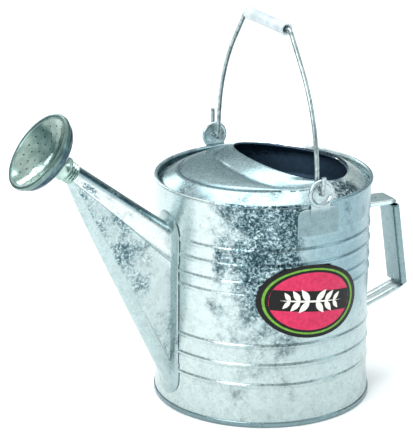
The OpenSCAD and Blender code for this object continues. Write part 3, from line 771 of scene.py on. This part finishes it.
def buildFerrule():
    s = rose
    outline = [(7.8, -8), (10, -8), (10.1, -0.2), (11.0, 0.1)]
    for i in range(s["threadTurns"]):
        start = 0.6 + s["threadPitch"] * i
        for k in range(9):
            u = k / 8
            rise = exp(-((u - 0.5) / 0.24) ** 2)
            outline.append((mixValue(s["threadRoot"] - 0.2, s["threadRadius"] - 0.25, rise), start + 3.1 * u))
    outline += [(10.7, 23.6), (10.3, 24), (7.8, 24)]
    vertices, faces = revolve(outline, 96, roseAxes)
    makePiece("threadedFerrule", vertices, faces, [plateZinc], "can", ["spout_ferrule"], 50)


def buildCollar():
    s = rose
    r, start = s["collarRadius"], s["collarStart"]
    end = s["out"] - s["depth"] + 2
    outline = [(12.15, start), (r - 0.5, start), (r, start + 0.5), (r, start + 2.2), (r - 0.6, start + 3.0),
               (r - 0.6, start + 9), (r - 0.1, start + 11), (r, end - 5), (r - 0.9, end - 3), (r - 1.2, end),
               (7.8, end), (7.8, 26.2), (12.15, 26.2)]
    vertices, faces = revolve(outline, 96, roseAxes)
    makePiece("roseCollar", vertices, faces, [plateZinc], "rose", ["rose_socket"], 50)


def buildShell():
    s = rose
    back = s["out"] - s["depth"]
    big = s["radius"] - 2.2
    small = s["collarRadius"] - 1.2
    outer = [(small + 0.2, back)]
    for i in range(19):
        a = radians(5 * i)
        outer.append((small + 2 + (big - small - 2) * sin(a) ** 0.9, back + (s["depth"] - 7) * (1 - cos(a))))
    outer += [(big, s["out"] - 5), (big, s["out"] - 2.5)]
    inner = [(r - 0.8, h + (0.8 if r < big - 1 else 0.1)) for r, h in reversed(outer)]
    inner[0] = (big - 0.8, s["out"] - 2.5)
    vertices, faces = revolve(outer + inner, 144, roseAxes)
    makePiece("roseShell", vertices, faces, [shellZinc], "rose", ["rose_shell"], 50)


# dished face with real holes: rings of points and every hole's circle are joined by triangles
def buildFace():
    s = rose
    dishRadius = s["radius"] - s["rimWidth"]
    points, edges, holes = [], [], []

    def addLoop(centreX, centreY, radius, count):
        first = len(points)
        for k in range(count):
            t = 2 * pi * k / count
            points.append(Vector((centreX + radius * cos(t), centreY + radius * sin(t))))
            edges.append((first + k, first + (k + 1) % count))

    addLoop(0, 0, dishRadius, 120)
    for index, (count, radius) in enumerate(s["holeRings"]):
        for k in range(count):
            t = 2 * pi * (k + 0.37 * index) / count
            hole = Vector((radius * cos(t), radius * sin(t)))
            holes.append(hole)
            addLoop(hole.x, hole.y, s["holeRadius"], 10)
    for radius, count in ((36.5, 110), (35, 100), (30, 90), (22, 64), (14, 44), (5, 18)):
        for k in range(count):
            t = 2 * pi * (k + 0.5) / count
            p = Vector((radius * cos(t), radius * sin(t)))
            if all((p - h).length > s["holeRadius"] * 1.5 for h in holes):
                points.append(p)
    found = delaunay_2d_cdt(points, edges, [], 1, 1e-5)
    flat, triangles = found[0], found[2]
    kept = []
    for triangle in triangles:
        middle = sum((flat[i] for i in triangle), Vector((0, 0))) / 3
        if all((middle - h).length > s["holeRadius"] * 0.9 for h in holes):
            kept.append(tuple(triangle))
    centre, sideX, sideY, up = roseAxes

    def lift(x, y, drop=0.0):
        share = hypot(x, y) / dishRadius
        height = s["out"] - 1.6 - s["dish"] * (1 - share ** 2.2) - drop
        return centre + (sideX * x + sideY * y + up * height) * mm

    front = [lift(p.x, p.y) for p in flat]
    back = [lift(p.x, p.y, 0.8) for p in flat]
    total = len(front)
    faces = kept + [tuple(total + i for i in reversed(f)) for f in kept]
    # wall of the sheet along every open edge
    sides = [(f[i], f[(i + 1) % 3]) for f in kept for i in range(3)]
    known = set(sides)
    faces += [(b, a, total + a, total + b) for a, b in sides if (b, a) not in known]
    makePiece("roseDish", front + back, faces, [plateZinc], "rose", ["rose_face"], 55)
    # broad flat rim, rolled back over the shell
    r, out = s["radius"], s["out"]
    outline = [(dishRadius - 0.3, out - 2.0), (dishRadius + 0.4, out - 0.9), (dishRadius + 1.4, out - 0.25),
               (dishRadius + 2.4, out), (r - 1.6, out), (r - 0.5, out - 0.4), (r - 0.05, out - 1.3),
               (r, out - 2.4), (r - 0.05, out - 4.6), (r - 0.5, out - 5.4), (r - 1.2, out - 5.6),
               (r - 1.9, out - 5.2), (r - 2.0, out - 2.4), (dishRadius + 0.8, out - 2.2),
               (dishRadius - 0.3, out - 2.8)]
    vertices, rimFaces = revolve(outline, 160, roseAxes)
    makePiece("roseRim", vertices, rimFaces, [rimZinc], "rose", (), 40)


buildFerrule()
keepNode("rose_washer", washerRubber)
buildCollar()
buildShell()
buildFace()
print("rose built")


# ---- ears

ears = {
    "eyeRadius": 15.5, "ring": 2.0, "plateHalf": 25,
    "plateFoot": 215, "plateTop": 245, "corner": 8, "thick": 1.3,
    "hole": 2.75,
}
hingeX = (earBox[0].x + earBox[1].x) / 2 / mm
gripZ = (gripBox[0].z + gripBox[1].z) / 2 / mm
hingeZ = gripZ - 159        # mm, the bail's height above its hinge line
eyeZ = hingeZ + 0.5


def buildEar(name, node, side):
    s = ears
    eyeY = rimRadius / mm + 0.4
    # base plate on the wall, a grid that narrows towards rounded top corners
    rows = []
    base = wallRadius / mm + 1.0 + s["thick"]
    for i in range(17):
        v = i / 16
        z = mixValue(s["plateFoot"], s["plateTop"], v)
        below = s["plateTop"] - z
        cut = s["corner"] - sqrt(max(0, s["corner"] ** 2 - max(0, s["corner"] - below) ** 2))
        width = s["plateHalf"] - cut
        row = []
        for j in range(33):
            x = hingeX + mixValue(-width, width, j / 32)
            # two spot welds
            high = z - s["plateFoot"] - 10
            dimple = sum(exp(-((x - hingeX - d) ** 2 + high ** 2) / 9) for d in (-17, 17))
            y = sqrt((base - 0.5 * dimple) ** 2 - x * x)
            row.append(Vector((x, side * y, z)) * mm)
        rows.append(row)
    if side < 0:
        rows = [list(reversed(row)) for row in rows]
    vertices, faces = thicken(rows, -s["thick"] * mm)
    # neck that steps out round the rim
    out = eyeY + s["thick"]
    neckRows = []
    for z, y, w in ((234, base + 0.2, 11.5), (238, base + 0.25, 11.5), (241, base + 0.8, 11.5),
                    (243.5, eyeY + 0.5, 11.5), (246, out, 11.4), (249, out, 11.3), (252, out, 11.5),
                    (255, out, 12.2)):
        row = []
        for j in range(11):
            x = hingeX + mixValue(-w, w, j / 10)
            row.append(Vector((x, side * (y - 0.25 * abs(j - 5) / 5), z)) * mm)
        neckRows.append(row if side > 0 else list(reversed(row)))
    joinShell(vertices, faces, thicken(neckRows, -s["thick"] * mm))
    # round dished eye with a rolled ring
    r, ring = s["eyeRadius"], s["ring"]
    outline = [(s["hole"], 0.3), (s["hole"] + 0.5, 1.1), (6, 0.6), (9.5, 0.5), (r - 2 * ring - 0.6, 1.2)]
    for d in range(150, -121, -18):
        outline.append((r - ring + ring * cos(radians(d)), 1.5 + ring * sin(radians(d))))
    outline += [(r - 2 * ring - 0.2, 0.1), (9.5, -0.6), (6, -0.5), (s["hole"], -0.4)]
    centre = Vector((hingeX, side * (eyeY + 0.6), eyeZ)) * mm
    axes = (centre, Vector((1, 0, 0)), Vector((0, 0, -side)), Vector((0, side, 0)))
    joinShell(vertices, faces, revolve(outline, 72, axes))
    # the neck and pressed eye are painted paler than the plate: a painted highlight
    toneAndLightPaint = [(ease((v.z / mm - 240) / 8), 0.1) for v in vertices]
    makePiece(name, vertices, faces, [smallZinc], "can", [node], 50, toneAndLightPaint=toneAndLightPaint)


buildEar("earLeft", "ear_left", -1)
buildEar("earRight", "ear_right", 1)
print("ears built")


# ---- bail

bail = {
    "wire": 2.5, "leg": 112.0, "tailOut": 126.9, "footBend": 4, "legRise": 8,
    "longBend": 190, "bendAngle": 36.5, "topBend": 9,
    "tails": (19, 30),
}


def bailArc(cy, cz, r, start, end, side, steps):
    points = []
    for i in range(steps + 1):
        h = radians(mixValue(start, end, i / steps))
        points.append(Vector((0, cy - side * r * cos(h), cz + side * r * sin(h))))
    return points


def bailSide(tail):
    s = bail
    lowZ = hingeZ + s["footBend"]
    bendZ = lowZ + s["legRise"]
    slope = radians(90 - s["bendAngle"])
    turn = radians(s["bendAngle"])
    endY = s["leg"] - s["longBend"] * (1 - cos(turn))
    endZ = bendZ + s["longBend"] * sin(turn)
    straight = (gripZ - endZ - s["topBend"] * (1 - cos(slope))) / sin(slope)
    flatY = endY - straight * cos(slope) - s["topBend"] * sin(slope)
    path = [Vector((0, -s["tailOut"], hingeZ + tail)), Vector((0, -s["tailOut"], hingeZ + tail * 0.6))]
    path += bailArc(-s["tailOut"] + s["footBend"], lowZ, s["footBend"], 180, 90, -1, 6)
    path += bailArc(-s["leg"] - s["footBend"], lowZ, s["footBend"], 90, 0, -1, 6)
    path += bailArc(-s["leg"] + s["longBend"], bendZ, s["longBend"], 0, s["bendAngle"], 1, 26)
    path += bailArc(-flatY, gripZ - s["topBend"], s["topBend"], s["bendAngle"], 90, 1, 6)
    return path


def buildBail():
    s = bail
    left = bailSide(s["tails"][0])
    right = [Vector((0, -p.y, p.z)) for p in reversed(bailSide(s["tails"][1]))]
    points = [(p + Vector((hingeX, 0, 0))) * mm for p in left + right]
    vertices, faces = sweepTube(points, s["wire"] * mm * 0.99, 24)
    makePiece("bailWire", vertices, faces, [bailZinc], "bail", ["bail_wire"], 50)


def buildGrip():
    half = (gripBox[1].y - gripBox[0].y) / 2 / mm
    outer = (gripBox[1].z - gripBox[0].z) / 2 / mm
    # bore and collar of one end; the other end mirrors it
    end = [(2.75, 6), (3.6, 4), (4.6, 0.8), (5.2, 0.15), (outer - 1.2, 0), (outer - 0.35, 0.5), (outer, 1.6),
           (outer, 4), (outer - 0.5, 6)]
    outline = [(r, h - half) for r, h in end] + [(outer - 0.45, 0)]
    outline += [(r, half - h) for r, h in reversed(end)]
    axes = (Vector((hingeX, 0, gripZ)) * mm, Vector((1, 0, 0)), Vector((0, 0, -1)), Vector((0, 1, 0)))
    vertices, faces = revolve(outline, 64, axes)
    makePiece("bailGrip", vertices, faces, [gripPlastic], "grip", ["bail_grip"], 50)


buildBail()
buildGrip()
print("bail built")


# ---- back handle

handle = {
    "topZ": 201.8, "cornerX": 167.0, "height": 107, "lean": 8.3, "fall": 18.5,
    "upperHalf": 17, "lowerHalf": 13, "sheet": 1.6, "lip": 4.4, "ridge": 0.7,
    "gripHalf": 17, "gripThick": 9, "gripWall": 0.8,
}


# strap bent from sheet: sections across the width follow one line round the handle
def buildStrap():
    s = handle
    wallAt = wallRadius / mm + 1.2
    lowX = s["cornerX"] + s["height"] * tan(radians(s["lean"]))
    topZ, lowZ = s["topZ"], s["topZ"] - s["height"]
    fall = tan(radians(s["fall"]))
    # the strap runs inside the grip, behind the corner line
    back, lowBack = s["cornerX"] - 3.4, lowX - 3.4
    line = [(wallAt, topZ), (wallAt + 8, topZ), (s["cornerX"] - 14, topZ), (s["cornerX"] - 5, topZ - 0.2),
            (back + 0.6, topZ - 2.6), (back + 1.4, topZ - 9)]
    for i in range(1, 8):
        line.append((mixValue(back + 1.0, lowBack + 0.6, i / 8), mixValue(topZ - 4, lowZ + 4, i / 8)))
    line += [(lowBack + 0.4, lowZ + 5), (lowX - 4.6, lowZ + 0.6), (lowX - 9, lowZ - 2.2),
             (mixValue(lowX, wallAt, 0.5), lowZ - 0.5 * (lowX - wallAt) * fall),
             (wallAt + 5, lowZ - (lowX - wallAt - 5) * fall), (wallAt, lowZ - (lowX - wallAt) * fall)]
    rows = []
    count = len(line)
    for i, (x, z) in enumerate(line):
        before, after = [line[n] for n in neighbours(i, count)]
        along = Vector((after[0] - before[0], 0, after[1] - before[1])).normalized()
        outward = Vector((-along.z, 0, along.x))
        upper = 1 - ease((i - 2) / 3)
        half = mixValue(s["lowerHalf"], s["upperHalf"], upper)
        lower = ease((i - count + 5) / 2)
        row = []
        for j in range(25):
            v = -1 + 2 * j / 24
            # edges turn down on the upper arm; two ridges run along the lower one
            drop = s["lip"] * upper * ease((abs(v) - 0.88) / 0.12)
            ridge = s["ridge"] * lower * exp(-((abs(v) - 0.5) / 0.12) ** 2)
            width = half * v * (1 - 0.02 * upper * ease((abs(v) - 0.9) / 0.1))
            row.append((Vector((x, width, z)) + outward * (ridge - drop)) * mm)
        rows.append(row)
    vertices, faces = thicken(rows, -s["sheet"] * mm)
    # feet soldered on the wall
    for z, halfWidth, height in ((topZ - 3, 20, 17), (line[-1][1] + 1, 17.5, 18)):
        footRows = []
        for i in range(9):
            fz = z + height * (i / 8 - 0.5)
            r = wallRadius / mm + 2.4 - 0.7 * ease((abs(i / 8 - 0.5) - 0.4) / 0.1)
            footRows.append([Vector((sqrt(r * r - w * w), w, fz)) * mm
                             for w in [mixValue(-halfWidth, halfWidth, j / 20) for j in range(21)]])
        joinShell(vertices, faces, thicken(footRows, -1.2 * mm))
    makePiece("handleStrap", vertices, faces, [litStrapZinc], "can", ["handle_strap"], 40)


def buildHandGrip():
    s = handle
    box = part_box("handle_grip")
    lean = radians(s["lean"])
    down = Vector((sin(lean), 0, -cos(lean)))
    inward = Vector((-cos(lean), 0, -sin(lean)))
    start = Vector((s["cornerX"], 0, box[1].z / mm - 0.6))
    length = (box[1].z - box[0].z) / mm / cos(lean) - 2.5
    corner, half, thick = 3.6, s["gripHalf"], s["gripThick"]
    ring = []
    for cx, cy, base in ((thick - corner, half - corner, 0), (corner, half - corner, 90),
                         (corner, -half + corner, 180), (thick - corner, -half + corner, 270)):
        for k in range(8):
            a = radians(base + 90 * k / 7)
            ring.append((cx + corner * cos(a), cy + corner * sin(a)))
    vertices, count = [], len(ring)
    stations = [0, 0.01, 0.03, 0.25, 0.5, 0.75, 0.97, 0.99, 1.0]
    for inner in (False, True):
        for u in stations:
            # the ends are rounded over
            less = (0.5 if u in (0, 1.0) else 0.0) + (s["gripWall"] if inner else 0.0)
            for a, b in ring:
                scaleA = 1 - less / (thick / 2)
                scaleB = 1 - less / half
                p = start + inward * (thick / 2 + (a - thick / 2) * scaleA) + down * (u * length)
                p.y += b * scaleB
                vertices.append(p * mm)
    total = len(stations)
    faces = gridFaces(total, count, False, True, 0, True)
    faces += gridFaces(total, count, False, True, total * count)
    for j in range(count):
        n = (j + 1) % count
        faces.append((j, n, total * count + n, total * count + j))
        a, b = (total - 1) * count + j, (total - 1) * count + n
        faces.append((b, a, total * count + a, total * count + b))
    makePiece("handGrip", vertices, faces, [smallZinc], "can", ["handle_grip"], 40)


buildStrap()
buildHandGrip()
print("handle built")


# ---- label: an oval sticker with rings of colour and a plain leaf sprig

label = {
    "length": 126, "height": 82, "turn": 1.4, "tilt": 7,
    "rings": [(0.905, 0), (0.855, 2), (0.79, 0)],       # inner edge of each ring and its ink
    "bandHalf": 11.5,
    "inks": [("labelBlack", "#0A0B0C", "#060607"), ("labelCream", "#EDEBE2", "#DAD8CE"),
             ("labelGreen", "#6FA53A", "#56882E"), ("labelCrimson", "#CF2F5A", "#B8234C")],
}


def onLabel(u, v, lift):
    s = label
    tilt = radians(-s["tilt"])
    a = u * cos(tilt) - v * sin(tilt)
    b = u * sin(tilt) + v * cos(tilt)
    middle = (labelBox[0].z + labelBox[1].z) / 2 / mm
    radius = wallRadius / mm + 1.25 + lift
    angle = -pi / 2 - radians(s["turn"]) + a / radius
    return Vector((radius * cos(angle), radius * sin(angle), middle + b)) * mm


def buildLabel():
    s = label
    materials = [printedVinyl(*ink) for ink in s["inks"]]
    shares = sorted({1.0} | {edge for edge, ink in s["rings"]} | {k / 25 for k in range(1, 25)}, reverse=True)
    steps = 120
    vertices, indices = [], []
    for w in shares:
        for k in range(steps):
            t = 2 * pi * k / steps
            vertices.append(onLabel(w * s["length"] / 2 * cos(t), w * s["height"] / 2 * sin(t), 0.0))
    faces = gridFaces(len(shares), steps, False, True)
    for high, low in zip(shares, shares[1:]):
        ink = next((ink for edge, ink in s["rings"] if (high + low) / 2 > edge), 3)
        indices += [ink] * steps
    centre = len(vertices)
    vertices.append(onLabel(0, 0, 0))
    last = (len(shares) - 1) * steps
    for k in range(steps):
        faces.append((last + k, last + (k + 1) % steps, centre))
        indices.append(3)

    # one leaf as a strip of quads along its rib
    def addLeaf(x, y, length, width, angle, ink):
        first = len(vertices)
        count = 12
        for i in range(count + 1):
            u = i / count
            half = width / 2 * sin(pi * u ** 0.85)
            for side in (-1, 0, 1):
                a, b = u * length, side * half
                vertices.append(onLabel(x + a * cos(angle) - b * sin(angle),
                                        y + a * sin(angle) + b * cos(angle), 0.25))
        for i in range(count):
            for j in range(2):
                a = first + i * 3 + j
                faces.append((a, a + 3, a + 4, a + 1))
                indices.append(ink)

    # dark band across the middle, behind the sprig
    first = len(vertices)
    columns = 60
    inner = s["rings"][-1][0]
    for i in range(columns + 1):
        u = -1 + 2 * i / columns
        tall = min(s["bandHalf"], inner * s["height"] / 2 * sqrt(max(0.0, 1 - u * u)))
        for j in range(9):
            vertices.append(onLabel(u * inner * s["length"] / 2, tall * (j / 4 - 1), 0.1))
    for i in range(columns):
        for j in range(8):
            a = first + i * 9 + j
            faces.append((a, a + 9, a + 10, a + 1))
            indices.append(0)

    for side in (-1, 1):
        for x, size in ((4, 17), (15, 15), (26, 12)):
            addLeaf(side * x, 0, size, size * 0.42, pi / 2 - side * 0.7, 1)
            addLeaf(side * x, 0, size, size * 0.42, -pi / 2 + side * 0.7, 1)
    addLeaf(-38, 0, 76, 2.2, 0, 1)
    makePiece("ovalLabel", vertices, faces, materials, "can", ["label"], 50, indices)


buildLabel()
print("label built")


# ---- floor, light and camera

studio = {
    "floor": [(0.3, "#F6F7F7"), (0.7, "#F7F8F8")], "floorReach": 40.0, "worldStrength": 1.0,
    "sky": [(0.0, "#F4F7F7"), (0.05, "#C3CFD0"), (0.13, "#6E8387"), (0.22, "#8DA2A5"), (0.40, "#B4C4C6"),
            (0.56, "#F6F9F9"), (1.0, "#FFFFFF")],
    "target": (0, 0, 0.120), "azimuth": -28.62, "elevation": 20.1, "distance": 2.45,
    "focal": 2203.0, "frameHeight": 432.0, "offCentre": (56.46, 68.2), "roll": -0.32, "sensor": 36.0,
}


def buildStudio():
    s = studio
    material, tree, shader = cloudedMaterial("paleFloor", 770, s["floor"], 1.0)[:3]
    setInputs(tree, shader, {"Roughness": 0.9})
    mesh = bpy.data.meshes.new("studioFloor")
    far = s["floorReach"]
    corners = [(x, y, -0.2 * mm) for x, y in ((-far, -far), (far, -far), (far, far), (-far, far))]
    mesh.from_pydata(corners, [], [(0, 1, 2, 3)])
    mesh.materials.append(material)
    floor = bpy.data.objects.new("studioFloor", mesh)
    bpy.context.scene.collection.objects.link(floor)
    world = bpy.data.worlds.new("studioAir")
    bpy.context.scene.world = world
    world.use_nodes = True
    # a dim studio wall behind the can and a bright ceiling over it
    air = world.node_tree
    way = addNode(air, "TexCoord").outputs["Generated"]
    parts = addNode(air, "SeparateXYZ", {"Vector": way})
    sky = addNode(air, "ValToRGB", {"Fac": parts.outputs["Z"]}, s["sky"])
    setInputs(air, air.nodes["Background"], {"Color": sky.outputs["Color"], "Strength": s["worldStrength"]})


def addSoftbox(name, place, aim, size, power, colour):
    lamp = bpy.data.lights.new(name, "AREA")
    lamp.shape = "RECTANGLE"
    lamp.size, lamp.size_y = size
    lamp.energy = power
    lamp.color = linearColour(colour)[:3]
    holder = bpy.data.objects.new(name, lamp)
    holder.location = place
    holder.rotation_mode = "QUATERNION"
    holder.rotation_quaternion = (Vector(aim) - Vector(place)).to_track_quat("-Z", "Y")
    bpy.context.scene.collection.objects.link(holder)


def buildCamera():
    s = studio
    a, e = radians(s["azimuth"]), radians(s["elevation"])
    back = Vector((sin(a) * cos(e), -cos(a) * cos(e), sin(e)))
    straight = (-back).to_track_quat("-Z", "Y")
    right, up = straight @ Vector((1, 0, 0)), straight @ Vector((0, 1, 0))
    across, above = [shift / s["focal"] for shift in s["offCentre"]]
    aim = (-back - right * across + up * above).normalized()
    camera = bpy.data.cameras.new("studioCamera")
    camera.sensor_width = s["sensor"]
    camera.lens = s["sensor"] * s["focal"] / s["frameHeight"]
    camera.clip_start, camera.clip_end = 0.05, 100
    holder = bpy.data.objects.new("studioCamera", camera)
    holder.location = Vector(s["target"]) + back * s["distance"]
    holder.rotation_mode = "QUATERNION"
    roll = Matrix.Rotation(radians(s["roll"]), 4, aim).to_quaternion()
    holder.rotation_quaternion = roll @ aim.to_track_quat("-Z", "Y")
    bpy.context.scene.collection.objects.link(holder)
    bpy.context.scene.camera = holder


buildStudio()
addSoftbox("keyLight", (-1.9, -1.1, 1.5), (0, 0, 0.15), (1.4, 1.6), 44, "#FFFFFF")
addSoftbox("fillLight", (1.6, -1.6, 1.2), (0, 0, 0.15), (1.0, 1.4), 10, "#DCEBF0")
addSoftbox("topLight", (0.1, 0.5, 2.4), (0, 0, 0.1), (1.8, 1.8), 34, "#FFFFFF")
addSoftbox("backPanel", (-0.44, 1.97, 1.02), (-0.27, 0, 0.3), (0.9, 0.85), 8, "#FFFFFF")
buildCamera()
bpy.context.scene.view_settings.view_transform = "Standard"
print("studio ready")
